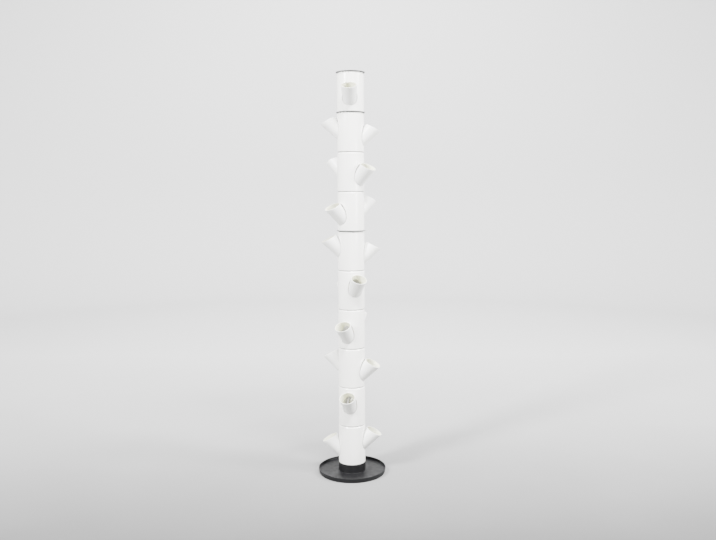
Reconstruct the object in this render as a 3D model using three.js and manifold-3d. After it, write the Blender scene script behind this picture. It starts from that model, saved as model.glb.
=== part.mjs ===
// Vertical planter tower: a round water tray with a socket collar, ten hollow trunk segments
// that plug into one another, two slanted planting spouts in every segment, and thin
// water-spreading discs at two seams and on top.
// Millimetres, +Z up. The origin is the middle of the tray's underside. Azimuths are counted
// in degrees from the front of the tower, which faces -Y, towards +X.

import * as THREE from 'three';
import { mergeVertices } from 'three/addons/utils/BufferGeometryUtils.js';
import Module from 'manifold-3d';

const wasm = await Module();
wasm.setup();

// Trunk segments
const trunkDiameter = 120;
const trunkWall = 4;
const segmentPitch = 175;
const shoulderWidth = 3;
const shoulderHeight = 8;
const footRound = 1.5;
const spigotLength = 18;
const spigotWall = 2.4;
const funnelHeight = 5;
const slotWidth = 18;
const slotCount = 4;
const trunkSides = 24;
const shoulderSteps = 2;

// Clearances between pieces that touch
const seatGap = 0.3;
const fitGap = 0.3;
const spoutTopGap = 3;
const cutOverrun = 2;

// Planting spouts
const mouthDiameter = 70;
const spoutWall = 2.6;
const mouthStandOff = 9.4;
const stubDepth = 2;
const highTipHeight = 123;
const lowTipHeight = 90;
const spoutSides = 18;
const spoutLean = THREE.MathUtils.degToRad(45);
const mouthTilt = THREE.MathUtils.degToRad(28);
const spoutTaper = THREE.MathUtils.degToRad(3);

// Water tray with its socket collar
const trayDiameter = 305;
const trayHeight = 20;
const trayFloor = 3;
const trayLipRound = 0.8;
const trayWall = 3;
const trayDraft = 2.5;
const basinRound = 2;
const footRingHeight = 6.5;
const footRingWidth = 8;
const footRingInset = 4;
const collarProud = 0.5;
const collarHeight = 47;
const collarRound = 2;
const collarFillet = 1.5;
const weepWidth = 8;
const weepHeight = 6;
const weepAzimuths = [120, 180, 240];
const traySides = 40;

// Water-spreading discs
const discProud = 5.5;
const discThickness = 1.6;
const spokeSideGap = 1.5;
const lugWidth = 12;
const lugLength = 6;
const lugDepth = 6;
const dripDiameter = 6;
const dripCircleDiameter = 68;
const dripCount = 6;
const dripSides = 6;
const discSides = 28;

// From the bottom segment to the top one: where its higher spout faces
const highSpoutAzimuths = [85, -11, -110, 158, 20, -82, 127, -130, -93, 177];
// Segments that stand on a disc, counted from the bottom with the first as 0
const segmentsOnDisc = { 6: 'water_disc_lower', 9: 'water_disc_upper' };

// Sizes that follow from the ones above
const trunkRadius = trunkDiameter / 2;
const boreRadius = trunkRadius - trunkWall;
const segmentLength = segmentPitch - seatGap;
const facetShare = Math.cos(Math.PI / trunkSides);
const spigotRadius = boreRadius * facetShare - fitGap;
const spigotBore = spigotRadius - spigotWall;
const mouthRadius = mouthDiameter / 2;
const mouthSkew = Math.PI / 2 - mouthTilt - spoutLean;
const mouthSlantShare = Math.tan(spoutTaper) * Math.sin(mouthSkew);
const mouthHeelDistance = mouthRadius / (Math.cos(mouthSkew) + mouthSlantShare);
const mouthTipDistance = mouthRadius / (Math.cos(mouthSkew) - mouthSlantShare);
const mouthReach = trunkRadius + mouthStandOff + mouthHeelDistance * Math.cos(mouthTilt);
const mouthLift = mouthTipDistance * Math.sin(mouthTilt);
const stubRadius = boreRadius - stubDepth;
const innerBlankEnd = -mouthReach / Math.cos(spoutLean);
const outerBlankEnd = mouthRadius;
const trayRadius = trayDiameter / 2;
const floorTop = footRingHeight + trayFloor;
const collarRadius = trunkRadius + collarProud;
const discRadius = trunkRadius + discProud;

const whitePlastic = new THREE.MeshStandardMaterial({ color: 0xf2f2ef, roughness: 0.38, metalness: 0 });
const spoutPlastic = new THREE.MeshStandardMaterial({ color: 0xf1f1ec, roughness: 0.38, metalness: 0 });
const trayPlastic = new THREE.MeshStandardMaterial({ color: 0x424548, roughness: 0.55, metalness: 0 });
const discPlastic = new THREE.MeshStandardMaterial({ color: 0x6a6c6b, roughness: 0.6, metalness: 0 });

function toSolid(geometry) {
  const bare = geometry.clone();
  bare.deleteAttribute('normal');
  bare.deleteAttribute('uv');
  const merged = mergeVertices(bare);
  const corners = merged.index.array;
  const triangles = [];
  for (let first = 0; first < corners.length; first += 3) {
    const [a, b, c] = corners.slice(first, first + 3);
    if (a !== b && b !== c && c !== a) triangles.push(a, b, c);
  }
  const vertProperties = merged.attributes.position.array;
  const triVerts = Uint32Array.from(triangles);
  return new wasm.Manifold(new wasm.Mesh({ numProp: 3, vertProperties, triVerts }));
}

function toGeometry(solid) {
  const { vertProperties, triVerts } = solid.getMesh();
  const geometry = new THREE.BufferGeometry();
  geometry.setAttribute('position', new THREE.BufferAttribute(vertProperties, 3));
  geometry.setIndex(new THREE.BufferAttribute(triVerts, 1));
  geometry.computeVertexNormals();
  return geometry;
}

// A solid of revolution about Z from an outline of [radius, height] points
function turned(outline, sides) {
  const points = outline.map(([radius, height]) => new THREE.Vector2(radius, height));
  return new THREE.LatheGeometry(points, sides).rotateX(Math.PI / 2);
}

function closedOutline(outline) {
  return [...outline, outline[0]];
}

// Copies a cutter or a boss around Z, the first copy facing +X
function aroundAxis(geometry, angles) {
  return angles.map((angle) => toSolid(geometry.clone().rotateZ(angle)));
}

function evenAngles(count) {
  return Array.from({ length: count }, (_, step) => (step * 2 * Math.PI) / count);
}

// The turn about Z that points +X to an azimuth in degrees
function facing(azimuth) {
  return THREE.MathUtils.degToRad(azimuth) - Math.PI / 2;
}

// Turned form along the spout's centre line, whose height 0 is where the line meets the mouth's plane
function alongSpout(outline, tipHeight) {
  const along = new THREE.Vector3(Math.cos(spoutLean), 0, Math.sin(spoutLean));
  const across = new THREE.Vector3(-Math.sin(spoutLean), 0, Math.cos(spoutLean));
  const sideways = new THREE.Vector3(0, 1, 0);
  const points = outline.map(([radius, height]) => new THREE.Vector2(radius, height));
  return new THREE.LatheGeometry(points, spoutSides)
    .applyMatrix4(new THREE.Matrix4().makeBasis(across, along, sideways))
    .translate(mouthReach, 0, tipHeight + mouthLift);
}

function spoutRadiusAt(distance) {
  return mouthRadius + Math.tan(spoutTaper) * distance;
}

// Spout: a slanted tapered tube, open at the mouth and at its stub, which follows the trunk's bore
function makeSpout(tipHeight) {
  const innerRadius = spoutRadiusAt(innerBlankEnd);
  const outerRadius = spoutRadiusAt(outerBlankEnd);
  const blank = toSolid(alongSpout(closedOutline([
    [innerRadius, innerBlankEnd],
    [outerRadius, outerBlankEnd],
    [outerRadius - spoutWall, outerBlankEnd],
    [innerRadius - spoutWall, innerBlankEnd],
  ]), tipHeight));
  const cutSize = trayDiameter;
  const aboveMouth = new THREE.BoxGeometry(cutSize, cutSize, cutSize)
    .translate(0, 0, cutSize / 2)
    .rotateY(mouthTilt)
    .translate(mouthReach, 0, tipHeight + mouthLift);
  const insideBore = new THREE.CylinderGeometry(stubRadius, stubRadius, 2 * segmentLength, trunkSides)
    .rotateX(Math.PI / 2);
  return toGeometry(blank.subtract(toSolid(aboveMouth)).subtract(toSolid(insideBore)));
}

// Slanted hole for a spout: it rests on the lower edge and has its play above
function makeSpoutHole(tipHeight) {
  const play = (fitGap + spoutTopGap) / 2;
  const rise = spoutTopGap - play;
  const innerRadius = spoutRadiusAt(innerBlankEnd) + play;
  const outerRadius = spoutRadiusAt(outerBlankEnd) + play;
  return alongSpout([
    [0, innerBlankEnd],
    [innerRadius, innerBlankEnd],
    [outerRadius, outerBlankEnd],
    [0, outerBlankEnd],
  ], tipHeight).translate(-rise * Math.sin(spoutLean), 0, rise * Math.cos(spoutLean));
}

// Outline of a segment's soft upper edge, a quarter of an ellipse
function makeShoulder() {
  return Array.from({ length: shoulderSteps + 1 }, (_, step) => {
    const angle = (step * Math.PI) / 2 / shoulderSteps;
    const inward = shoulderWidth * (1 - Math.cos(angle));
    const downward = shoulderHeight * (1 - Math.sin(angle));
    return [trunkRadius - inward, segmentLength - downward];
  });
}

// Trunk segment: height 0 is the shoulder that rests on the piece below, the spigot hangs under it
function makeTrunk() {
  const shell = toSolid(turned(closedOutline([
    [spigotBore, -spigotLength],
    [spigotRadius, -spigotLength],
    [spigotRadius, 0],
    [trunkRadius - footRound, 0],
    [trunkRadius, footRound],
    ...makeShoulder(),
    [boreRadius, segmentLength],
    [boreRadius, funnelHeight],
    [spigotBore, 0],
  ]), trunkSides));
  const slot = new THREE.BoxGeometry(trunkRadius, slotWidth, spigotLength + cutOverrun)
    .translate(trunkRadius, 0, -(spigotLength + cutOverrun) / 2);
  const holes = [
    toSolid(makeSpoutHole(highTipHeight)),
    toSolid(makeSpoutHole(lowTipHeight).rotateZ(Math.PI)),
  ];
  const cuts = [...aroundAxis(slot, evenAngles(slotCount)), ...holes];
  return toGeometry(cuts.reduce((solid, cut) => solid.subtract(cut), shell));
}

// Tray: a shallow dish on a foot ring, with the collar that the lowest segment plugs into
function makeTray() {
  const rimInner = trayRadius - trayWall;
  const footOuter = trayRadius - footRingInset;
  const dish = toSolid(turned([
    [0, footRingHeight],
    [footOuter - footRingWidth, footRingHeight],
    [footOuter - footRingWidth, 0],
    [footOuter, 0],
    [trayRadius - trayDraft, footRingHeight],
    [trayRadius, trayHeight - trayLipRound],
    [trayRadius - trayLipRound, trayHeight],
    [rimInner + trayLipRound, trayHeight],
    [rimInner, trayHeight - trayLipRound],
    [rimInner - trayDraft, floorTop + basinRound],
    [rimInner - trayDraft - basinRound, floorTop],
    [collarRadius + collarFillet, floorTop],
    [collarRadius, floorTop + collarFillet],
    [collarRadius, collarHeight - collarRound],
    [collarRadius - collarRound, collarHeight],
    [boreRadius, collarHeight],
    [boreRadius, floorTop],
    [0, floorTop],
  ], traySides));
  const cutLength = collarFillet + collarRadius - boreRadius + 2 * cutOverrun;
  const weep = new THREE.BoxGeometry(cutLength, weepWidth, weepHeight)
    .translate(boreRadius - cutOverrun + cutLength / 2, 0, floorTop + weepHeight / 2);
  const weeps = aroundAxis(weep, weepAzimuths.map(facing));
  return toGeometry(weeps.reduce((solid, cut) => solid.subtract(cut), dish));
}

// Disc: a rim that lies between two shoulders, a perforated plate inside the spigot's tongues,
// spokes that pass between the tongues and lugs that centre it in the bore below
function makeDisc() {
  const plateRadius = spigotBore * facetShare - fitGap;
  const rimBore = (spigotRadius + fitGap) / Math.cos(Math.PI / discSides);
  const spokeWidth = slotWidth - 2 * spokeSideGap;
  const lugOuter = Math.sqrt(spigotRadius ** 2 - (lugWidth / 2) ** 2);
  const blank = new THREE.CylinderGeometry(discRadius, discRadius, discThickness, discSides)
    .rotateX(Math.PI / 2)
    .translate(0, 0, discThickness / 2);
  const tongueRoom = turned(closedOutline([
    [plateRadius, -cutOverrun],
    [rimBore, -cutOverrun],
    [rimBore, discThickness + cutOverrun],
    [plateRadius, discThickness + cutOverrun],
  ]), discSides);
  const spokeLength = rimBore - plateRadius + 2 * cutOverrun;
  const spoke = new THREE.BoxGeometry(spokeLength, spokeWidth, discThickness)
    .translate(plateRadius - cutOverrun + spokeLength / 2, 0, discThickness / 2);
  const lug = new THREE.BoxGeometry(lugDepth, lugWidth, lugLength + discThickness)
    .translate(lugOuter - lugDepth / 2, 0, (discThickness - lugLength) / 2);
  const dripRadius = dripDiameter / 2;
  const drip = new THREE.CylinderGeometry(dripRadius, dripRadius, discThickness + cutOverrun, dripSides)
    .rotateX(Math.PI / 2)
    .translate(0, 0, discThickness / 2);
  const dripRing = aroundAxis(drip.clone().translate(dripCircleDiameter / 2, 0, 0), evenAngles(dripCount));
  const joins = [...aroundAxis(spoke, evenAngles(slotCount)), ...aroundAxis(lug, evenAngles(slotCount))];
  const open = toSolid(blank).subtract(toSolid(tongueRoom));
  const joined = joins.reduce((solid, boss) => solid.add(boss), open);
  return toGeometry([toSolid(drip), ...dripRing].reduce((solid, cut) => solid.subtract(cut), joined));
}

function makePiece(name, geometry, material, height, turn) {
  const piece = new THREE.Mesh(geometry, material);
  piece.name = name;
  piece.position.z = height;
  piece.rotation.z = turn;
  return piece;
}

const tower = new THREE.Group();
tower.add(makePiece('base_tray', makeTray(), trayPlastic, 0, 0));

const trunkGeometry = makeTrunk();
const highSpoutGeometry = makeSpout(highTipHeight);
const lowSpoutGeometry = makeSpout(lowTipHeight);
const discGeometry = makeDisc();

let seatHeight = collarHeight + seatGap;
highSpoutAzimuths.forEach((azimuth, index) => {
  const number = String(index + 1).padStart(2, '0');
  const turn = facing(azimuth);
  if (index in segmentsOnDisc) {
    tower.add(makePiece(segmentsOnDisc[index], discGeometry, discPlastic, seatHeight, turn));
    seatHeight += discThickness + seatGap;
  }
  const segment = new THREE.Group();
  segment.position.z = seatHeight;
  segment.rotation.z = turn;
  segment.add(makePiece(`trunk_${number}`, trunkGeometry, whitePlastic, 0, 0));
  segment.add(makePiece(`spout_${number}_high`, highSpoutGeometry, spoutPlastic, 0, 0));
  segment.add(makePiece(`spout_${number}_low`, lowSpoutGeometry, spoutPlastic, 0, Math.PI));
  tower.add(segment);
  seatHeight += segmentPitch;
});
const lidTurn = facing(highSpoutAzimuths.at(-1));
tower.add(makePiece('top_disc', discGeometry, discPlastic, seatHeight, lidTurn));

export default tower;
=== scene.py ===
# %% [markdown]
# # A vertical planter tower
# The tower is a stack of ten hollow plastic trunk segments on a dark water tray. Two slanted
# planting spouts come out of each segment, and thin water-spreading discs lie at two seams and on
# top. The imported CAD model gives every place, size and motion. This script dresses it: each CAD
# node gets a finer piece that fits the same place and rides on the same body.

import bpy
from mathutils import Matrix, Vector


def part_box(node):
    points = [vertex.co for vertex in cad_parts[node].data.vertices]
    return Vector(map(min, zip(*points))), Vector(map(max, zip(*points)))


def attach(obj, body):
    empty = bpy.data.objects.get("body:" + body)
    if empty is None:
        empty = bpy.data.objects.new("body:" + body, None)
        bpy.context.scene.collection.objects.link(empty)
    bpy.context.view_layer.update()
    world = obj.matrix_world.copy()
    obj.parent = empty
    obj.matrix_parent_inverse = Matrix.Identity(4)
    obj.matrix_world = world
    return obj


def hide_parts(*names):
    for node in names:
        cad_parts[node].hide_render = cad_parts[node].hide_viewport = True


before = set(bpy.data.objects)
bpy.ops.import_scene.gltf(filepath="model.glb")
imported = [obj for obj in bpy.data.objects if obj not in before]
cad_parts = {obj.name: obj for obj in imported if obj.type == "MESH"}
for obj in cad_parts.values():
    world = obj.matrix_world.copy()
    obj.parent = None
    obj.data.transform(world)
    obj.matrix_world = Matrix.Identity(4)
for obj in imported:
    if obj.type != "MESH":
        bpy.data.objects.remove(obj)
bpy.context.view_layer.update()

# %% [markdown]
# ## The trunk's sizes
# Sizes are the CAD model's, in millimetres, and MM turns them to Blender's metres. Each is written
# once under a name, so that a wall can be changed without hunting for it. Three forms are finer
# than the CAD's and stay inside its outline: the shoulder with a neck above it, the undercut foot,
# and later the gap round each spout. The spouts, tray and discs get their sizes where they are made.

# %% Sizes of the trunk
from math import cos, pi, radians, sin, sqrt, tan

import bmesh
import bpy
from mathutils import Matrix, Vector

MM = 0.001

trunk_radius = 60 * MM
trunk_bore = 56 * MM
segment_length = 174.7 * MM
shoulder_width = 3.3 * MM
shoulder_height = 8 * MM
neck_height = 2.5 * MM
undercut_width = 3 * MM
undercut_height = 0.8 * MM
spigot_radius = 55.22 * MM
spigot_bore = 52.82 * MM
spigot_length = 18 * MM
funnel_height = 5 * MM
slot_width = 18 * MM
slot_count = 4
print("trunk in mm:", 2 * trunk_radius / MM, "wide, a segment", round(segment_length / MM, 1), "high")

# %% [markdown]
# ## One helper for nodes
# Materials and Geometry Nodes are both trees of nodes. They could be wired by hand, but a script
# can be read and changed. This helper adds one node, applies its settings, and fills its inputs,
# each with a value or with a link from another node.

# %% Add a node
def add_node(tree, kind, inputs=None, **settings):
    node = tree.nodes.new(kind)
    for name, value in settings.items():
        setattr(node, name, value)
    by_identifier = {socket.identifier: socket for socket in node.inputs}
    for key, given in (inputs or {}).items():
        socket = by_identifier[key] if key in by_identifier else node.inputs[key]
        for value in given if isinstance(given, list) else [given]:
            if isinstance(value, bpy.types.NodeSocket):
                tree.links.new(value, socket)
            else:
                socket.default_value = value
    return node


sample_tree = bpy.data.node_groups.new("Sample", "GeometryNodeTree")
print("helper adds a", add_node(sample_tree, "ShaderNodeMath", {"Value": 2.0}).bl_label, "node")
bpy.data.node_groups.remove(sample_tree)

# %% [markdown]
# ## Colours
# Colours are written as sRGB hex, the way a colour card gives them. Shaders work with linear
# light, so one function turns the one into the other.

# %% Hex to linear
def linear(hex_colour):
    channels = [int(hex_colour[at:at + 2], 16) / 255 for at in (1, 3, 5)]
    return tuple(c / 12.92 if c <= 0.04045 else ((c + 0.055) / 1.055) ** 2.4 for c in channels) + (1.0,)


print("trunk white in linear light:", [round(c, 3) for c in linear("#F4F3EF")])

# %% [markdown]
# ## Moulded plastic
# Trunk, spouts, tray and discs are injection-moulded, most likely all in polypropylene. Up close
# such plastic shows a fine grain that it took from the steel mould, a slow waviness where the wall
# shrank as it cooled, and slightly uneven gloss and colour. Noise textures on Object coordinates
# draw them at real sizes, and no piece has to be unwrapped for them. Real grain is about 0.3 mm
# wide, too fine to show here, so it is drawn three times as coarse.

# %% A moulded plastic
polypropylene_ior = 1.49
# Most values of a noise texture lie between these two
noise_low = 0.3
noise_high = 0.7
tint_cloud_mm = 70
gloss_patch_mm = 25
shrink_wave_mm = 30
grain_mm = 0.9


def per_metre(size_mm):
    """The scale of a noise texture whose features are size_mm wide."""
    return 1000 / size_mm


def moulded_plastic(name, light, shaded, smoothest, dullest, wave_height, grain_height, mirror_level=0.5):
    """Plastic between two colours and two roughnesses, with waves and grain in its skin."""
    material = bpy.data.materials.new(name)
    material.use_nodes = True
    tree = material.node_tree
    shader = tree.nodes["Principled BSDF"]
    shader.inputs["IOR"].default_value = polypropylene_ior
    shader.inputs["Specular IOR Level"].default_value = mirror_level
    place = add_node(tree, "ShaderNodeTexCoord").outputs["Object"]

    clouds = add_node(tree, "ShaderNodeTexNoise",
                      {"Vector": place, "Scale": per_metre(tint_cloud_mm), "Detail": 3.0})
    tint = add_node(tree, "ShaderNodeMix",
                    {"Factor_Float": clouds.outputs["Fac"], "A_Color": linear(light),
                     "B_Color": linear(shaded)}, data_type="RGBA")
    tree.links.new(tint.outputs[2], shader.inputs["Base Color"])

    patches = add_node(tree, "ShaderNodeTexNoise",
                       {"Vector": place, "Scale": per_metre(gloss_patch_mm), "Detail": 5.0})
    gloss = add_node(tree, "ShaderNodeMapRange",
                     {"Value": patches.outputs["Fac"], "From Min": noise_low, "From Max": noise_high,
                      "To Min": smoothest, "To Max": dullest})
    tree.links.new(gloss.outputs["Result"], shader.inputs["Roughness"])

    wave = add_node(tree, "ShaderNodeTexNoise",
                    {"Vector": place, "Scale": per_metre(shrink_wave_mm), "Detail": 1.0})
    grain = add_node(tree, "ShaderNodeTexNoise",
                     {"Vector": place, "Scale": per_metre(grain_mm), "Detail": 2.0})
    waves = add_node(tree, "ShaderNodeBump", {"Height": wave.outputs["Fac"], "Distance": wave_height})
    skin = add_node(tree, "ShaderNodeBump", {"Height": grain.outputs["Fac"], "Distance": grain_height,
                                             "Normal": waves.outputs["Normal"]})
    tree.links.new(skin.outputs["Normal"], shader.inputs["Normal"])
    return material


pattern_sizes = (tint_cloud_mm, gloss_patch_mm, shrink_wave_mm, grain_mm)
print("noise scales:", [round(per_metre(size), 1) for size in pattern_sizes])

# %% [markdown]
# ## The white plastics
# The trunk is white polypropylene moulded against polished steel. That gives it a satin gloss, with
# a soft bright streak down the tube for each lamp. The spouts come from a duller mould and look
# softer. The trunk's faces in a seam and round a spout's hole are painted grey: painted shade that
# stands in for the shade falling in these gaps, and it draws the thin dark lines there. A spout's
# bore is a darker cream: painted shade for the light that bounces inside it. Both could be materials
# of their own. A mark on the mesh that changes the colour keeps each moulding in one plastic.

# %% Trunk and spout plastic
def recolour_where(material, mark, hex_colour):
    """Gives the material another colour where the mesh attribute called mark is 1."""
    tree = material.node_tree
    base_colour = tree.nodes["Principled BSDF"].inputs["Base Color"]
    elsewhere = base_colour.links[0].from_socket
    marked = add_node(tree, "ShaderNodeAttribute", attribute_name=mark)
    mixed = add_node(tree, "ShaderNodeMix",
                     {"Factor_Float": marked.outputs["Fac"], "A_Color": elsewhere,
                      "B_Color": linear(hex_colour)}, data_type="RGBA")
    tree.links.new(mixed.outputs[2], base_colour)


satin_pp = moulded_plastic("satin_white_moulded_polypropylene", "#F4F3EF", "#EFEEEA", smoothest=0.17,
                           dullest=0.26, wave_height=0.25 * MM, grain_height=0.006 * MM)
cream_pp = moulded_plastic("cream_white_moulded_polypropylene", "#F3F3F0", "#EEEEEB", smoothest=0.30,
                           dullest=0.40, wave_height=0.15 * MM, grain_height=0.012 * MM)
# Painted shade: faces in the seams and round the spout holes are grey, for the shade in these gaps.
recolour_where(satin_pp, "narrow", "#86857F")
# Painted shade: the spout's bore is a darker cream, for the light that bounces inside it.
recolour_where(cream_pp, "painted_bore_shade", "#E9E9D6")
print("white plastics:", satin_pp.name, cream_pp.name)

# %% [markdown]
# ## The dark plastics
# The tray is polypropylene coloured right through with soot black, which leaves a cool grey skin
# that scuffs a little. Melt that spreads from the middle of a round mould freezes in faint rings,
# so a ring wave is added to its bump, about 31 mm from ring to ring. The discs are the same kind
# of plastic, thinner and paler, with a mat skin.

# %% Tray and disc plastic
tray_pp = moulded_plastic("anthracite_moulded_polypropylene", "#0C0C0E", "#0A0A0B", smoothest=0.42,
                          dullest=0.55, wave_height=0.2 * MM, grain_height=0.03 * MM, mirror_level=0.24)
disc_pp = moulded_plastic("grey_mat_moulded_polypropylene", "#646666", "#5A5C5C", smoothest=0.5,
                          dullest=0.62, wave_height=0.05 * MM, grain_height=0.02 * MM)

ring_spacing_mm = 31.4
ring_height = 0.02 * MM
# A wave texture at scale 1 runs through this angle in each metre
wave_radians = 20

tree = tray_pp.node_tree
place = next(node for node in tree.nodes if node.type == "TEX_COORD").outputs["Object"]
skin = tree.nodes["Principled BSDF"].inputs["Normal"].links[0].from_socket
rings = add_node(tree, "ShaderNodeTexWave",
                 {"Vector": place, "Scale": 2 * pi * per_metre(ring_spacing_mm) / wave_radians,
                  "Distortion": 1.5, "Detail Scale": 2.0}, wave_type="RINGS", rings_direction="Z")
ringed_skin = add_node(tree, "ShaderNodeBump",
                       {"Height": rings.outputs["Fac"], "Distance": ring_height, "Normal": skin})
tree.links.new(ringed_skin.outputs["Normal"], tree.nodes["Principled BSDF"].inputs["Normal"])
print("dark plastics:", tray_pp.name, disc_pp.name)

# %% [markdown]
# ## Outlines with rounded corners
# Nearly every piece here is round about the tower's axis, so it starts as an outline: half of its
# cross-section, as radius and height. No moulded corner is sharp, because hot plastic doesn't fill
# one and a hand doesn't like one. A Bevel modifier could round the finished mesh, but it would
# round the edges of the holes too. This helper takes corners with a round each and returns points
# along the arcs.

# %% Round an outline
def rounded(corners, closed=True, steps=6):
    """Points [radius, height] of an outline from corners [radius, height, round], which goes
    anticlockwise when radius grows to the right."""
    points = []
    for at, corner in enumerate(corners):
        here = Vector(corner[:2])
        size = corner[2] if len(corner) > 2 else 0
        if size == 0:
            points.append(here)
            continue
        to_last = (Vector(corners[at - 1][:2]) - here).normalized()
        to_next = (Vector(corners[(at + 1) % len(corners)][:2]) - here).normalized()
        half = to_last.angle(to_next) / 2
        middle = here + (to_last + to_next).normalized() * size / sin(half)
        start = here + to_last * size / tan(half) - middle
        end = here + to_next * size / tan(half) - middle
        turn = start.angle_signed(end)
        points += [middle + Matrix.Rotation(-turn * step / steps, 2) @ start for step in range(steps + 1)]
    return points + points[:1] if closed else points


square = rounded([[0, 0, 1], [4, 0, 1], [4, 4, 1], [0, 4, 1]])
print("a rounded square has", len(square), "points")

# %% [markdown]
# ## Turning an outline with Geometry Nodes
# A turned form follows one rule: carry the outline round the axis. A Screw modifier could do it,
# but a tree can go on to cut the form. It makes a grid with a row for each outline point and a
# column for each step of the turn, and one column more. It lays every column on the outline turned
# by its share of the circle, so that the last falls on the first, and welds the two. The trunk, the
# tray and the discs all use it.

# %% The turned form tree
weld_distance = 0.005 * MM


def start_tree(name, inputs):
    tree = bpy.data.node_groups.new(name, "GeometryNodeTree")
    for label, kind in inputs.items():
        tree.interface.new_socket(label, in_out="INPUT", socket_type="NodeSocket" + kind)
    tree.interface.new_socket("Result", in_out="OUTPUT", socket_type="NodeSocketGeometry")
    return tree, add_node(tree, "NodeGroupInput").outputs


turned_form, given = start_tree("Turned form", {"Outline": "Geometry", "Sides": "Int"})
rows = add_node(turned_form, "GeometryNodeAttributeDomainSize", {"Geometry": given["Outline"]}).outputs[0]
columns = add_node(turned_form, "ShaderNodeMath", {"Value": given["Sides"], "Value_001": 1.0}).outputs[0]
grid = add_node(turned_form, "GeometryNodeMeshGrid", {"Vertices X": columns, "Vertices Y": rows})
index = add_node(turned_form, "GeometryNodeInputIndex").outputs[0]
column = add_node(turned_form, "FunctionNodeIntegerMath", {"Value": index, "Value_001": rows},
                  operation="DIVIDE_FLOOR")
row = add_node(turned_form, "FunctionNodeIntegerMath", {"Value": index, "Value_001": rows},
               operation="MODULO")
side_angle = add_node(turned_form, "ShaderNodeMath", {"Value": 2 * pi, "Value_001": given["Sides"]},
                      operation="DIVIDE")
angle = add_node(turned_form, "ShaderNodeMath",
                 {"Value": column.outputs[0], "Value_001": side_angle.outputs[0]}, operation="MULTIPLY")
place = add_node(turned_form, "GeometryNodeInputPosition").outputs[0]
outline_place = add_node(turned_form, "GeometryNodeSampleIndex",
                         {"Geometry": given["Outline"], "Value": place, "Index": row.outputs[0]},
                         data_type="FLOAT_VECTOR")
carried = add_node(turned_form, "ShaderNodeVectorRotate",
                   {"Vector": outline_place.outputs[0], "Angle": angle.outputs[0]}, rotation_type="Z_AXIS")
laid = add_node(turned_form, "GeometryNodeSetPosition",
                {"Geometry": grid.outputs[0], "Position": carried.outputs[0]})
welded = add_node(turned_form, "GeometryNodeMergeByDistance",
                  {"Geometry": laid.outputs[0], "Distance": weld_distance})
add_node(turned_form, "NodeGroupOutput", {"Result": welded.outputs[0]})
print("turned form tree:", len(turned_form.nodes), "nodes")

# %% [markdown]
# ## Copies in a ring
# Slots, drain holes, spokes and lugs all repeat around the axis. They could be placed one by one,
# but then their number couldn't be changed. A second small tree puts copies of a piece on points
# at the axis, each turned a step further than the last. Realize Instances makes real mesh of the
# copies, so that they can cut or join.

# %% The ring tree
ring_of, given = start_tree("Ring of copies", {"Piece": "Geometry", "Count": "Int", "First angle": "Float",
                                               "Step": "Float"})
points = add_node(ring_of, "GeometryNodePoints", {"Count": given["Count"]})
index = add_node(ring_of, "GeometryNodeInputIndex").outputs[0]
angle = add_node(ring_of, "ShaderNodeMath", {"Value": index, "Value_001": given["Step"],
                                             "Value_002": given["First angle"]}, operation="MULTIPLY_ADD")
turn = add_node(ring_of, "FunctionNodeAxisAngleToRotation", {"Angle": angle.outputs[0]})
copies = add_node(ring_of, "GeometryNodeInstanceOnPoints",
                  {"Points": points.outputs[0], "Instance": given["Piece"], "Rotation": turn.outputs[0]})
real = add_node(ring_of, "GeometryNodeRealizeInstances", {"Geometry": copies.outputs[0]})
add_node(ring_of, "NodeGroupOutput", {"Result": real.outputs[0]})
print("ring tree:", len(ring_of.nodes), "nodes")

# %% [markdown]
# ## From a tree to a plain mesh
# An outline object carries the tree as a modifier. Its inputs are set by their identifiers before
# Blender first evaluates it, the result becomes a plain mesh, and the outline object goes away.

# %% Run a tree on an outline
def placed(name, data):
    """A new object in the scene, at the origin."""
    thing = bpy.data.objects.new(name, data)
    bpy.context.scene.collection.objects.link(thing)
    return thing


def outline_object(name, outline):
    mesh = bpy.data.meshes.new(name)
    mesh.from_pydata([(r, 0, z) for r, z in outline], [(at, at + 1) for at in range(len(outline) - 1)], [])
    return placed(name, mesh)


def from_tree(tree, outline, values):
    rough = outline_object("outline", outline)
    modifier = rough.modifiers.new(tree.name, "NODES")
    modifier.node_group = tree
    for label, value in values.items():
        modifier[tree.interface.items_tree[label].identifier] = value
    depsgraph = bpy.context.evaluated_depsgraph_get()
    mesh = bpy.data.meshes.new_from_object(rough.evaluated_get(depsgraph))
    rough.modifiers.remove(modifier)
    bpy.data.objects.remove(rough)
    return mesh


sample_mesh = from_tree(turned_form, square, {"Sides": 12})
print("the square turned in 12 steps has", len(sample_mesh.polygons), "faces")
bpy.data.meshes.remove(sample_mesh)

# %% [markdown]
# ## From a mesh to a finished piece
# A plain mesh is shaded smooth, with its real edges kept crisp. Then it rides on the CAD body and
# stands for the CAD node, which is hidden. A wall that is inside out shows as a negative volume, so
# the volume of each kind of piece is printed.

# %% Finish and measure a piece
crisp_edge_angle = radians(32)
litres_per_cubic_metre = 1000


def finished(name, mesh, body, node):
    mesh.name = name
    mesh.shade_smooth()
    mesh.set_sharp_from_angle(angle=crisp_edge_angle)
    piece = placed(name, mesh)
    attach(piece, body)
    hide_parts(node)
    return piece


def litres(mesh):
    """The volume that a mesh closes in, which is negative if its faces point inwards."""
    work = bmesh.new()
    work.from_mesh(mesh)
    volume = work.calc_volume(signed=True) * litres_per_cubic_metre
    work.free()
    return round(volume, 3)


print("piece makers ready")

# %% [markdown]
# ## Places up the tower
# Each segment stands on the last one with a small gap, and its height comes from the CAD frame: the
# spigot hangs a fixed length below the seat. Azimuths count from the front, towards +X, and say
# where a segment's higher spout faces. They were read from the spouts in the photograph.

# %% Seats and facings
high_azimuths = [85, -11, -110, 158, 20, -82, 127, -130, -93, 177]


def facing(azimuth):
    return radians(azimuth - 90)


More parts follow.
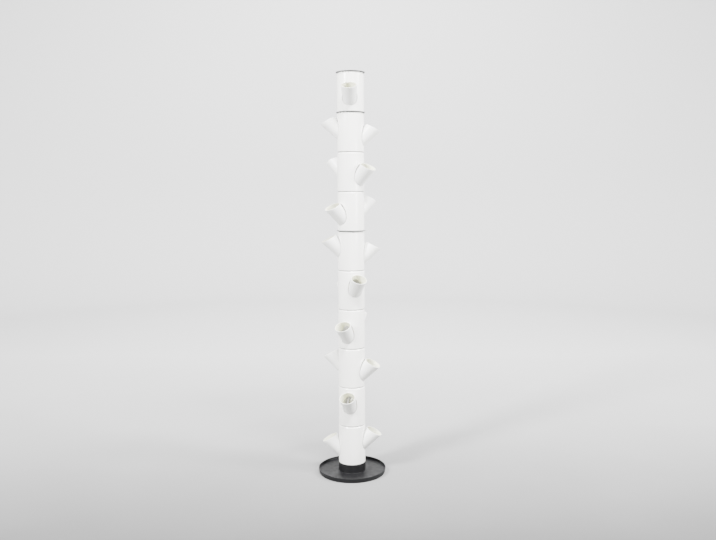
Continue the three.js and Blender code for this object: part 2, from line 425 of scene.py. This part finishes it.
segments = []
for number, azimuth in enumerate(high_azimuths, start=1):
    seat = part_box(f"trunk_{number:02d}")[0].z + spigot_length
    segments.append((f"{number:02d}", seat, facing(azimuth)))
print("seats in mm:", [round(seat / MM, 1) for _, seat, _ in segments])

# %% [markdown]
# ## Spout holes
# A spout is a straight round tube that tapers a little and leans out at 45 degrees, and its mouth
# is cut aslant. The hole in the trunk is the same slanted cone with some play. A level round hole
# would be easier, but it would leave a wide gap at the sides. The play is larger above than below,
# because the spout rests on the lower edge, and it makes the thin dark crescent over each spout in
# the photograph.

# %% Hole outline and the spout's own numbers
# The holes' edge faces carry the painted seam shade too, so the dark crescent is partly the real gap's
# shade and partly painted shade.
mouth_radius = 35 * MM
mouth_stand_off = 9.4 * MM
spout_lean = radians(45)
mouth_tilt = radians(28)
spout_taper = tan(radians(3))
tip_heights = {"high": 123 * MM, "low": 90 * MM}
hole_play = 2.5 * MM
hole_rise = 2.2 * MM

mouth_skew = pi / 2 - mouth_tilt - spout_lean
heel_distance = mouth_radius / (cos(mouth_skew) + spout_taper * sin(mouth_skew))
tip_distance = mouth_radius / (cos(mouth_skew) - spout_taper * sin(mouth_skew))
mouth_reach = trunk_radius + mouth_stand_off + heel_distance * cos(mouth_tilt)
mouth_lift = tip_distance * sin(mouth_tilt)

hole_start = -mouth_reach / cos(spout_lean)
hole_outline = [
    (0, hole_start),
    (mouth_radius + spout_taper * hole_start + hole_play, hole_start),
    (mouth_radius + spout_taper * mouth_radius + hole_play, mouth_radius),
    (0, mouth_radius),
]
print("the mouth's middle in mm:", round(mouth_reach / MM, 2), "out and", round(mouth_lift / MM, 2),
      "over its tip")

# %% [markdown]
# ## The trunk segment tree
# One tree holds the rule for all ten segments, so a change in one is a change in all. It turns the
# outline, and turns the hole's outline to a cone that is tipped to the spout's lean and moved to
# the spout's mouth, once high on one side and once lower on the opposite side. Two inputs place the
# segment: how high it sits and which way it faces.

# %% Shell and hole cutters
trunk_tree, given = start_tree("Trunk segment", {
    "Outline": "Geometry", "Hole outline": "Object", "Sides": "Int", "Lean": "Float",
    "Mouth reach": "Float", "High mouth height": "Float", "Low mouth height": "Float",
    "Slot width": "Float", "Seat height": "Float", "Facing": "Float", "Plastic": "Material"})
shell = add_node(trunk_tree, "GeometryNodeGroup", {"Outline": given["Outline"], "Sides": given["Sides"]},
                 node_tree=turned_form)
hole_shape = add_node(trunk_tree, "GeometryNodeObjectInfo", {"Object": given["Hole outline"]})
cone = add_node(trunk_tree, "GeometryNodeGroup",
                {"Outline": hole_shape.outputs["Geometry"], "Sides": given["Sides"]},
                node_tree=turned_form)

steep = add_node(trunk_tree, "ShaderNodeMath", {"Value": pi / 2, "Value_001": given["Lean"]},
                 operation="SUBTRACT")
tipped = add_node(trunk_tree, "FunctionNodeAxisAngleToRotation",
                  {"Axis": (0, 1, 0), "Angle": steep.outputs[0]})
half_turn = add_node(trunk_tree, "FunctionNodeAxisAngleToRotation", {"Axis": (0, 0, 1), "Angle": pi})
cutters = []
for label in ("High mouth height", "Low mouth height"):
    mouth = add_node(trunk_tree, "ShaderNodeCombineXYZ", {"X": given["Mouth reach"], "Z": given[label]})
    cutter = add_node(trunk_tree, "GeometryNodeTransform",
                      {"Geometry": cone.outputs[0], "Translation": mouth.outputs[0],
                       "Rotation": tipped.outputs[0]})
    if label.startswith("Low"):
        cutter = add_node(trunk_tree, "GeometryNodeTransform",
                          {"Geometry": cutter.outputs[0], "Rotation": half_turn.outputs[0]})
    cutters.append(cutter.outputs[0])
print("hole cutters:", len(cutters))

# %% [markdown]
# ## Spigot slots
# Four slots split the spigot into tongues that spring a little when it is pushed into the segment
# below. A block repeated by the ring tree cuts them. One boolean after another could do it too, but
# the boolean takes several cutters at once, so the slots and the holes are cut together.

# %% Slots, and all the cuts
cut_overrun = 2 * MM

slot_size = add_node(trunk_tree, "ShaderNodeCombineXYZ",
                     {"X": trunk_radius, "Y": given["Slot width"], "Z": spigot_length + cut_overrun})
slot_block = add_node(trunk_tree, "GeometryNodeMeshCube", {"Size": slot_size.outputs[0]})
slot_moved = add_node(trunk_tree, "GeometryNodeTransform",
                      {"Geometry": slot_block.outputs[0],
                       "Translation": (trunk_radius, 0, -(spigot_length + cut_overrun) / 2)})
slots = add_node(trunk_tree, "GeometryNodeGroup",
                 {"Piece": slot_moved.outputs[0], "Count": slot_count, "Step": 2 * pi / slot_count},
                 node_tree=ring_of)
cut = add_node(trunk_tree, "GeometryNodeMeshBoolean",
               {"Mesh 1": shell.outputs[0], "Mesh 2": [*cutters, slots.outputs[0]]},
               operation="DIFFERENCE", solver="MANIFOLD")
print("slots:", slot_count)

# %% [markdown]
# ## A mark for the painted seam shade
# The faces that lie inside the thickness of the wall, the edges of the holes, the neck and the
# undercut foot, are marked for a painted shade: grey that stands in for the shade falling in these
# gaps. They could be picked by hand, but the tree knows them by their distance from the axis, which
# lies between the bore and the outer skin. The sloping shoulder lies there too, but it is open to the
# light and stays white. The mark is kept on faces, because on points it would run up the long walls.

# %% Mark the faces for the painted seam shade
bore_skin = 0.2 * MM
outer_skin = 0.5 * MM
slope_bottom = segment_length - shoulder_height
slope_top = segment_length - neck_height


def is_between(value, low, high):
    """1 where the value lies between low and high."""
    return add_node(trunk_tree, "ShaderNodeMath",
                    {"Value": value, "Value_001": (low + high) / 2, "Value_002": (high - low) / 2},
                    operation="COMPARE").outputs[0]


place = add_node(trunk_tree, "GeometryNodeInputPosition").outputs[0]
height = add_node(trunk_tree, "ShaderNodeSeparateXYZ", {"Vector": place}).outputs["Z"]
level = add_node(trunk_tree, "ShaderNodeVectorMath", {"Vector": place, "Vector_001": (1, 1, 0)},
                 operation="MULTIPLY")
radius = add_node(trunk_tree, "ShaderNodeVectorMath", {"Vector": level.outputs[0]},
                  operation="LENGTH").outputs["Value"]
in_wall = is_between(radius, trunk_bore + bore_skin, trunk_radius - outer_skin)
on_slope = is_between(height, slope_bottom, slope_top)
narrow = add_node(trunk_tree, "ShaderNodeMath", {"Value": in_wall, "Value_001": on_slope},
                  operation="SUBTRACT", use_clamp=True)
# This mark tells the trunk's plastic where to paint the grey seam shade.
marked = add_node(trunk_tree, "GeometryNodeStoreNamedAttribute",
                  {"Geometry": cut.outputs[0], "Name": "narrow", "Value": narrow.outputs[0]},
                  domain="FACE")
print("marked: walls between", round((trunk_bore + bore_skin) / MM, 1), "and",
      round((trunk_radius - outer_skin) / MM, 1), "mm from the axis")

# %% [markdown]
# ## The end of a tree
# Segments and discs are seated alike: lifted to their seat and turned to their facing. Their trees
# and the tray's then end in Realize Instances, because the export drops instances, and in Set
# Material.

# %% Seat a form and end its tree
def seated(tree, given, form):
    """The form lifted to the tree's seat height and turned to its facing."""
    seat = add_node(tree, "ShaderNodeCombineXYZ", {"Z": given["Seat height"]})
    turn = add_node(tree, "FunctionNodeAxisAngleToRotation", {"Axis": (0, 0, 1), "Angle": given["Facing"]})
    return add_node(tree, "GeometryNodeTransform", {"Geometry": form, "Translation": seat.outputs[0],
                                                    "Rotation": turn.outputs[0]}).outputs[0]


def end_tree(tree, given, form):
    real = add_node(tree, "GeometryNodeRealizeInstances", {"Geometry": form})
    painted = add_node(tree, "GeometryNodeSetMaterial",
                       {"Geometry": real.outputs[0], "Material": given["Plastic"]})
    add_node(tree, "NodeGroupOutput", {"Result": painted.outputs[0]})


end_tree(trunk_tree, given, seated(trunk_tree, given, marked.outputs[0]))
print("trunk tree:", len(trunk_tree.nodes), "nodes")

# %% [markdown]
# ## The ten trunk segments
# A segment could be a cylinder with holes, but the seams are what the eye reads on the tower: a
# thin dark line with a bright band under it. So the outline has a slim neck at the top, in the shade
# of the segment above, whose foot is undercut, and the neck and foot are also painted grey, a painted
# shade that deepens that line. Below the neck a sloping shoulder catches the light. Inside, a funnel
# leads water to the spigot. The same tree runs ten times with another height and facing.

# %% Make the trunk segments
trunk_sides = 128
crisp_round = 0.2 * MM
edge_round = 0.5 * MM
lead_in_round = 0.8 * MM
shoulder_round = 1.2 * MM
foot_radius = trunk_radius - undercut_width
neck_radius = trunk_radius - shoulder_width

trunk_outline = rounded([
    [spigot_bore, -spigot_length, edge_round],
    [spigot_radius, -spigot_length, lead_in_round],
    [spigot_radius, 0],
    [foot_radius, 0, crisp_round],
    [foot_radius, undercut_height, crisp_round],
    [trunk_radius, undercut_height, edge_round],
    [trunk_radius, slope_bottom, shoulder_round],
    [neck_radius, slope_top, edge_round],
    [neck_radius, segment_length, crisp_round],
    [trunk_bore, segment_length],
    [trunk_bore, funnel_height],
    [spigot_bore, 0],
])
hole_lines = outline_object("spout_hole_outline", hole_outline)
for number, seat, turn in segments:
    mesh = from_tree(trunk_tree, trunk_outline, {
        "Hole outline": hole_lines, "Sides": trunk_sides, "Lean": spout_lean,
        "Mouth reach": mouth_reach - hole_rise * sin(spout_lean),
        "High mouth height": tip_heights["high"] + mouth_lift + hole_rise * cos(spout_lean),
        "Low mouth height": tip_heights["low"] + mouth_lift + hole_rise * cos(spout_lean),
        "Slot width": slot_width, "Seat height": seat, "Facing": turn, "Plastic": satin_pp})
    finished(f"trunk_shell_{number}", mesh, f"segment_{number}", f"trunk_{number}")
bpy.data.objects.remove(hole_lines)
print("a trunk shell has", len(mesh.polygons), "faces and", litres(mesh), "litres of plastic")

# %% [markdown]
# ## A line along a spout
# Each spout is a separate moulded tube pushed into its hole. From the front its lip is a bright
# thin ring round a shaded bore, so the lip needs a real round. A turned tube cut by a plane would
# leave it sharp. Instead every line along the tube is laid from the stub, which ends 2 mm inside
# the bore and follows its curve, to the slanted plane of the mouth. Along such a line the section
# goes up the outer wall, over the rounded lip and down the bore.

# %% Section of the tube, and one point on it
spout_wall = 2.6 * MM
stub_radius = 54 * MM
lip_round = 1.0 * MM
lip_steps = 5
wall_steps = 6

outer_wall = [(0, "wall", step / wall_steps) for step in range(wall_steps)]
lip_angles = [step * pi / 2 / lip_steps for step in range(lip_steps + 1)]
lip = [(lip_round * (1 - cos(a)), "mouth", lip_round * (1 - sin(a))) for a in lip_angles]
outer_half = outer_wall + lip
section = outer_half + [(spout_wall - inset, end, amount) for inset, end, amount in reversed(outer_half)]


def distance_to_bore(around, radius):
    """How far along the centre line one line of the tube reaches the stub's upright cylinder."""
    out_at_mouth = mouth_reach - radius * cos(around) * sin(spout_lean)
    out_slope = cos(spout_lean) - spout_taper * cos(around) * sin(spout_lean)
    side_at_mouth = radius * sin(around)
    side_slope = spout_taper * sin(around)
    square = out_slope ** 2 + side_slope ** 2
    half = out_at_mouth * out_slope + side_at_mouth * side_slope
    rest = out_at_mouth ** 2 + side_at_mouth ** 2 - stub_radius ** 2
    return (sqrt(half ** 2 - square * rest) - half) / square


def spout_point(around, inset, end, amount, tip_height):
    """A point of the section: a share of the way up the wall, or an amount short of the mouth."""
    radius = mouth_radius - inset
    skew = cos(around) * tan(mouth_skew)
    at_mouth = -skew * radius / (1 + skew * spout_taper)
    at_stub = distance_to_bore(around, radius)
    along = at_mouth - amount if end == "mouth" else at_stub + (at_mouth - at_stub) * amount
    width = radius + spout_taper * along
    across = width * cos(around)
    return Vector((mouth_reach + along * cos(spout_lean) - across * sin(spout_lean),
                   width * sin(around),
                   tip_height + mouth_lift + along * sin(spout_lean) + across * cos(spout_lean)))


print("points in a spout's section:", len(section))

# %% [markdown]
# ## The planting spouts
# The section is laid at 72 angles round the tube, and neighbouring lines are joined by faces. The
# tree for turned forms would end the tube square, so this is done in mesh code. The points of the
# bore carry the mark for a painted shade that makes the bore a darker cream, standing in for the
# light that bounces inside it. Every segment has two spouts, the lower one opposite the higher.

# %% Make the spouts
spout_lines = 72


def spout_mesh(tip_height, seat, turn):
    place = Matrix.Translation((0, 0, seat)) @ Matrix.Rotation(turn, 4, "Z")
    work = bmesh.new()
    rings = []
    for line in range(spout_lines):
        around = 2 * pi * line / spout_lines
        line_points = [spout_point(around, *spot, tip_height) for spot in section]
        rings.append([work.verts.new(place @ point) for point in line_points])
    for here, there in zip(rings, rings[1:] + rings[:1]):
        for at in range(len(section)):
            after = (at + 1) % len(section)
            work.faces.new((here[at], here[after], there[after], there[at]))
    bmesh.ops.recalc_face_normals(work, faces=work.faces)
    mesh = bpy.data.meshes.new("spout")
    work.to_mesh(mesh)
    work.free()
    # The bore's points get the painted shade: a darker cream for the light bounced inside the tube.
    painted_bore_shade = mesh.attributes.new("painted_bore_shade", "FLOAT", "POINT")
    marks = [float(inset > spout_wall / 2) for inset, end, amount in section]
    painted_bore_shade.data.foreach_set("value", marks * spout_lines)
    mesh.materials.append(cream_pp)
    return mesh


for number, seat, turn in segments:
    for which, back in (("high", 0), ("low", pi)):
        mesh = spout_mesh(tip_heights[which], seat, turn + back)
        finished(f"planting_spout_{number}_{which}", mesh, f"segment_{number}", f"spout_{number}_{which}")
print("a spout has", len(mesh.polygons), "faces and", litres(mesh), "litres of plastic")

# %% [markdown]
# ## The water tray's outline
# The tray is one moulding: a shallow dish on a foot ring, and in its middle the collar that the
# lowest segment plugs into. It is round but for its notches, so it is turned like the trunk. A
# small fillet joins the collar to the floor, and the collar's top edge is well rounded, so that it
# catches some light just under the white trunk.

# %% Outline of the tray
tray_radius = 152.5 * MM
tray_height = 20 * MM
tray_wall = 3 * MM
tray_draft = 2.5 * MM
floor_top = 9.5 * MM
foot_height = 6.5 * MM
foot_outer = 148.5 * MM
foot_inner = 140.5 * MM
foot_root_round = 0.4 * MM
foot_inner_round = 0.5 * MM
foot_outer_round = 0.6 * MM
dish_round = 1.2 * MM
rim_inner_round = 1.1 * MM
basin_round = 2.5 * MM
collar_radius = 60.5 * MM
collar_height = 47 * MM
collar_fillet = 1.5 * MM
collar_round = 2.4 * MM
socket_round = 0.8 * MM
socket_floor_round = 1 * MM

tray_outline = rounded([
    [0, foot_height],
    [foot_inner, foot_height, foot_root_round],
    [foot_inner, 0, foot_inner_round],
    [foot_outer, 0, foot_outer_round],
    [tray_radius - tray_draft, foot_height, dish_round],
    [tray_radius, tray_height, dish_round],
    [tray_radius - tray_wall, tray_height, rim_inner_round],
    [tray_radius - tray_wall - tray_draft, floor_top, basin_round],
    [collar_radius, floor_top, collar_fillet],
    [collar_radius, collar_height, collar_round],
    [trunk_bore, collar_height, socket_round],
    [trunk_bore, floor_top, socket_floor_round],
    [0, floor_top],
], closed=False)
print("the tray's outline has", len(tray_outline), "points")

# %% [markdown]
# ## The water tray
# Three notches at the collar's foot, at the back, let surplus water run from the trunk to the dish.
# They could be modelled into the outline only if they went all round. So a block cuts them, and the
# ring tree repeats it.

# %% Make the tray
tray_sides = 160
weep_width = 8 * MM
weep_height = 6 * MM
weep_length = 14 * MM
weep_count = 3
first_weep_azimuth = 120
weep_step = radians(60)

tray_tree, given = start_tree("Water tray", {"Outline": "Geometry", "Sides": "Int", "Weep width": "Float",
                                             "Weep height": "Float", "Plastic": "Material"})
dish = add_node(tray_tree, "GeometryNodeGroup", {"Outline": given["Outline"], "Sides": given["Sides"]},
                node_tree=turned_form)
weep_size = add_node(tray_tree, "ShaderNodeCombineXYZ",
                     {"X": weep_length, "Y": given["Weep width"], "Z": given["Weep height"]})
weep_block = add_node(tray_tree, "GeometryNodeMeshCube", {"Size": weep_size.outputs[0]})
weep_moved = add_node(tray_tree, "GeometryNodeTransform",
                      {"Geometry": weep_block.outputs[0],
                       "Translation": (trunk_bore - cut_overrun + weep_length / 2, 0,
                                       floor_top + weep_height / 2)})
weeps = add_node(tray_tree, "GeometryNodeGroup",
                 {"Piece": weep_moved.outputs[0], "Count": weep_count,
                  "First angle": facing(first_weep_azimuth), "Step": weep_step}, node_tree=ring_of)
drained = add_node(tray_tree, "GeometryNodeMeshBoolean",
                   {"Mesh 1": dish.outputs[0], "Mesh 2": weeps.outputs[0]},
                   operation="DIFFERENCE", solver="MANIFOLD")
end_tree(tray_tree, given, drained.outputs[0])

mesh = from_tree(tray_tree, tray_outline, {"Sides": tray_sides, "Weep width": weep_width,
                                           "Weep height": weep_height, "Plastic": tray_pp})
finished("water_tray", mesh, "base", "base_tray")
print("the tray has", len(mesh.polygons), "faces and", litres(mesh), "litres of plastic")

# %% [markdown]
# ## The water-spreading discs
# A disc lies between two segments and spreads the water that drips down the trunk. Its rim shows
# outside as a thin grey line. Inside, a plate with drip holes hangs on four spokes that pass
# between the tongues of the spigot above, and four lugs centre it in the bore below. They could be
# pieces of their own, but a disc is one moulding, so a boolean joins them. Spokes and lugs repeat
# around the axis, so the ring tree makes them.

# %% Rim, plate, spokes and lugs
disc_radius = 65.5 * MM
disc_thickness = 1.6 * MM
plate_radius = 51.9 * MM
rim_bore = 55.9 * MM
spoke_width = 15 * MM
spoke_length = 8 * MM
spoke_middle = 54 * MM
lug_width = 12 * MM
lug_depth = 6 * MM
lug_length = 6 * MM

disc_tree, given = start_tree("Water disc", {
    "Outline": "Geometry", "Sides": "Int", "Plate radius": "Float", "Thickness": "Float",
    "Spoke width": "Float", "Drip holes": "Int", "Drip radius": "Float", "Seat height": "Float",
    "Facing": "Float", "Plastic": "Material"})
rim = add_node(disc_tree, "GeometryNodeGroup", {"Outline": given["Outline"], "Sides": given["Sides"]},
               node_tree=turned_form)
plate_round = add_node(disc_tree, "GeometryNodeMeshCylinder",
                       {"Vertices": given["Sides"], "Radius": given["Plate radius"],
                        "Depth": given["Thickness"]})
plate = add_node(disc_tree, "GeometryNodeTransform",
                 {"Geometry": plate_round.outputs[0], "Translation": (0, 0, disc_thickness / 2)})


def ringed(piece, out, up, count):
    """A piece moved out from the axis and up, and repeated around the axis."""
    moved = add_node(disc_tree, "GeometryNodeTransform", {"Geometry": piece, "Translation": (out, 0, up)})
    step = add_node(disc_tree, "ShaderNodeMath", {"Value": 2 * pi, "Value_001": count},
                    operation="DIVIDE")
    return add_node(disc_tree, "GeometryNodeGroup",
                    {"Piece": moved.outputs[0], "Count": count, "Step": step.outputs[0]},
                    node_tree=ring_of).outputs[0]


spoke_size = add_node(disc_tree, "ShaderNodeCombineXYZ",
                      {"X": spoke_length, "Y": given["Spoke width"], "Z": given["Thickness"]})
spoke = add_node(disc_tree, "GeometryNodeMeshCube", {"Size": spoke_size.outputs[0]})
spokes = ringed(spoke.outputs[0], spoke_middle, disc_thickness / 2, slot_count)
lug_size = (lug_depth, lug_width, lug_length + disc_thickness)
lug = add_node(disc_tree, "GeometryNodeMeshCube", {"Size": lug_size})
lug_outer = sqrt(spigot_radius ** 2 - (lug_width / 2) ** 2)
lugs = ringed(lug.outputs[0], lug_outer - lug_depth / 2, (disc_thickness - lug_length) / 2, slot_count)
joined = add_node(disc_tree, "GeometryNodeMeshBoolean",
                  {"Mesh 2": [rim.outputs[0], plate.outputs[0], spokes, lugs]},
                  operation="UNION", solver="MANIFOLD")
print("spokes and lugs:", slot_count, "each, out to", round(lug_outer / MM, 1), "mm")

# %% [markdown]
# ## Drip holes
# Water leaves the plate through one hole in the middle and six in a ring. They could be left out,
# as the tower hides them in two discs of three, but the top disc shows them from above.

# %% Pierce the plate and end the tree
drip_radius = 3 * MM
drip_circle = 34 * MM
drip_count = 6
drip_sides = 24
drip_depth = 4 * disc_thickness

drip = add_node(disc_tree, "GeometryNodeMeshCylinder",
                {"Vertices": drip_sides, "Radius": given["Drip radius"], "Depth": drip_depth})
drips = ringed(drip.outputs[0], drip_circle, 0, given["Drip holes"])
pierced = add_node(disc_tree, "GeometryNodeMeshBoolean",
                   {"Mesh 1": joined.outputs[0], "Mesh 2": [drip.outputs[0], drips]},
                   operation="DIFFERENCE", solver="MANIFOLD")
end_tree(disc_tree, given, seated(disc_tree, given, pierced.outputs[0]))
print("disc tree:", len(disc_tree.nodes), "nodes")

# %% [markdown]
# ## The three discs
# Two discs carry segments 7 and 10, and the third closes the top. Each turns with the segment
# that holds it between its tongues, and the top one follows the segment below. Their lowest points
# in the CAD frame are the lugs' ends, which gives their seats.

# %% Make the discs
disc_sides = 128
bore_edge_round = 0.3 * MM
rim_edge_round = 0.6 * MM

disc_outline = rounded([
    [rim_bore, 0, bore_edge_round],
    [disc_radius, 0, rim_edge_round],
    [disc_radius, disc_thickness, rim_edge_round],
    [rim_bore, disc_thickness, bore_edge_round],
])
for node, body, azimuth in (("water_disc_lower", "segment_07", high_azimuths[6]),
                            ("water_disc_upper", "segment_10", high_azimuths[9]),
                            ("top_disc", "lid", high_azimuths[9])):
    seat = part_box(node)[0].z + lug_length
    mesh = from_tree(disc_tree, disc_outline, {
        "Sides": disc_sides, "Plate radius": plate_radius, "Thickness": disc_thickness,
        "Spoke width": spoke_width, "Drip holes": drip_count, "Drip radius": drip_radius,
        "Seat height": seat, "Facing": facing(azimuth), "Plastic": disc_pp})
    finished(node + "_plate", mesh, body, node)
print("a disc has", len(mesh.polygons), "faces and", litres(mesh), "litres of plastic")

# %% [markdown]
# ## A pale studio
# The tower stands on a pale seamless floor that curves up into a wall all round, far enough away
# that the camera stays inside it from every side. A flat floor would show its far edge. It is a
# stage piece and not part of the object.

# %% Floor and wall
floor_reach = 5.5
bend_radius = 1.5
bend_steps = 12
wall_top = 5
bowl_sides = 96

bend_angles = [step * pi / 2 / bend_steps for step in range(1, bend_steps + 1)]
bend = [(floor_reach + bend_radius * sin(a), bend_radius - bend_radius * cos(a)) for a in bend_angles]
bowl_outline = [(0, 0), (floor_reach, 0)] + bend + [(floor_reach + bend_radius, wall_top)]
bowl_mesh = from_tree(turned_form, bowl_outline, {"Sides": bowl_sides})
bowl_mesh.flip_normals()
bowl_mesh.shade_smooth()
bowl = placed("studio_floor", bowl_mesh)
print("studio floor:", len(bowl_mesh.polygons), "faces")

# %% [markdown]
# ## The studio's paper
# The floor and the wall are dull paper. The floor is a shade darker than the wall, so the paper's
# grey rises from the front to the back in four stops: a painted shade that stands in for the weaker
# light on the floor in front. Weaker lamps in front could do that, but they would dim the tower too.
# Wide soft clouds bend the steps between the stops, so that no band shows and the paper isn't one
# flat colour.

# %% Floor and wall paper
clouds_per_metre = 1.2
cloud_bend = 0.3
front_end = -1.0
back_end = 3.0
paper_roughness = 0.9
# Painted shade: the grey is darker in front, for the weaker light on the floor there.
paper_shade_stops = ((0.12, "#5C5C5C"), (0.28, "#808080"), (0.45, "#A2A2A2"), (0.9, "#CCCCCC"))

paper = bpy.data.materials.new("pale_seamless_paper")
paper.use_nodes = True
tree = paper.node_tree
place = add_node(tree, "ShaderNodeTexCoord").outputs["Object"]
mottle = add_node(tree, "ShaderNodeTexNoise", {"Vector": place, "Scale": clouds_per_metre, "Detail": 2.0})
parts = add_node(tree, "ShaderNodeSeparateXYZ", {"Vector": place}).outputs
uneven = add_node(tree, "ShaderNodeMath",
                  {"Value": mottle.outputs["Fac"], "Value_001": cloud_bend, "Value_002": parts["Y"]},
                  operation="MULTIPLY_ADD")
way_back = add_node(tree, "ShaderNodeMapRange",
                    {"Value": uneven.outputs[0], "From Min": front_end, "From Max": back_end})
shades = add_node(tree, "ShaderNodeValToRGB", {"Fac": way_back.outputs["Result"]})
ramp = shades.color_ramp.elements
for at, (share, shade) in enumerate(paper_shade_stops):
    stop = ramp[at] if at < len(ramp) else ramp.new(share)
    stop.position = share
    stop.color = linear(shade)
tree.links.new(shades.outputs["Color"], tree.nodes["Principled BSDF"].inputs["Base Color"])
tree.nodes["Principled BSDF"].inputs["Roughness"].default_value = paper_roughness
bowl_mesh.materials.clear()
bowl_mesh.materials.append(paper)
print("paper:", paper.name, "with", len(ramp), "stops")

# %% [markdown]
# ## Studio light
# The photograph has one large soft light at the upper left in front, and pale light from everywhere
# else. A sky picture could give it, but soft boxes can be placed one by one. The key makes the left
# of the trunk the brightest, a fill and a high front box keep every shadow pale, a small card near
# the trunk draws the narrow streak down its right side, and one more box lights the wall.

# %% Lamps and surroundings
room_colour = "#F4F5F7"
room_strength = 0.5


def soft_box(name, place, aim, width, depth, watts):
    lamp = bpy.data.lights.new(name, "AREA")
    lamp.shape = "RECTANGLE"
    lamp.size = width
    lamp.size_y = depth
    lamp.energy = watts
    holder = placed(name, lamp)
    holder.location = place
    holder.rotation_mode = "QUATERNION"
    holder.rotation_quaternion = (Vector(aim) - Vector(place)).to_track_quat("-Z", "Y")
    holder.visible_camera = False


soft_box("key_soft_box", place=(-3.1, -2.7, 3.3), aim=(0, 0, 1.2), width=0.8, depth=2.0, watts=900)
soft_box("fill_soft_box", place=(4.0, -1.2, 3.2), aim=(0, 0, 0.9), width=1.2, depth=1.6, watts=580)
soft_box("front_soft_box", place=(1.1, -3.3, 6.0), aim=(0, 0, 0.7), width=2.8, depth=0.6, watts=1350)
soft_box("side_card", place=(1.0, -0.9, 1.25), aim=(0, 0, 1.25), width=0.3, depth=0.5, watts=20)
soft_box("backdrop_soft_box", place=(0, 3.4, 4.6), aim=(0, 7, 1.6), width=3.0, depth=3.0, watts=470)
world = bpy.data.worlds.new("studio")
world.use_nodes = True
world.node_tree.nodes["Background"].inputs["Color"].default_value = linear(room_colour)
world.node_tree.nodes["Background"].inputs["Strength"].default_value = room_strength
bpy.context.scene.world = world

# %% [markdown]
# ## The camera
# The camera could be moved by eye until the picture fits. Here the measured seams, tray and trunk
# widths gave it by least squares: 3.3 m in front, 1.26 m up, tipped down under 3 degrees, with a
# lens of about 37 mm. The shift puts the picture's middle below the lens's own axis, as a cropped
# photograph does, and the small roll follows the tower's lean in the picture.

# %% Place the camera
picture_width = 716
focal_pixels = 740
axis_above_middle = 40
sensor_width = 36
camera_place = (0.0312, -3.322, 1.261)
tip_down = radians(2.77)
roll = radians(-0.27)

camera_data = bpy.data.cameras.new("photo_camera")
camera_data.sensor_width = sensor_width
camera_data.lens = sensor_width * focal_pixels / picture_width
camera_data.shift_y = -axis_above_middle / picture_width
camera = placed("photo_camera", camera_data)
camera.matrix_world = (Matrix.Translation(camera_place) @ Matrix.Rotation(pi / 2 - tip_down, 4, "X")
                       @ Matrix.Rotation(roll, 4, "Z"))
bpy.context.scene.camera = camera
print("lens", round(camera_data.lens, 2), "shift", round(camera_data.shift_y, 4))
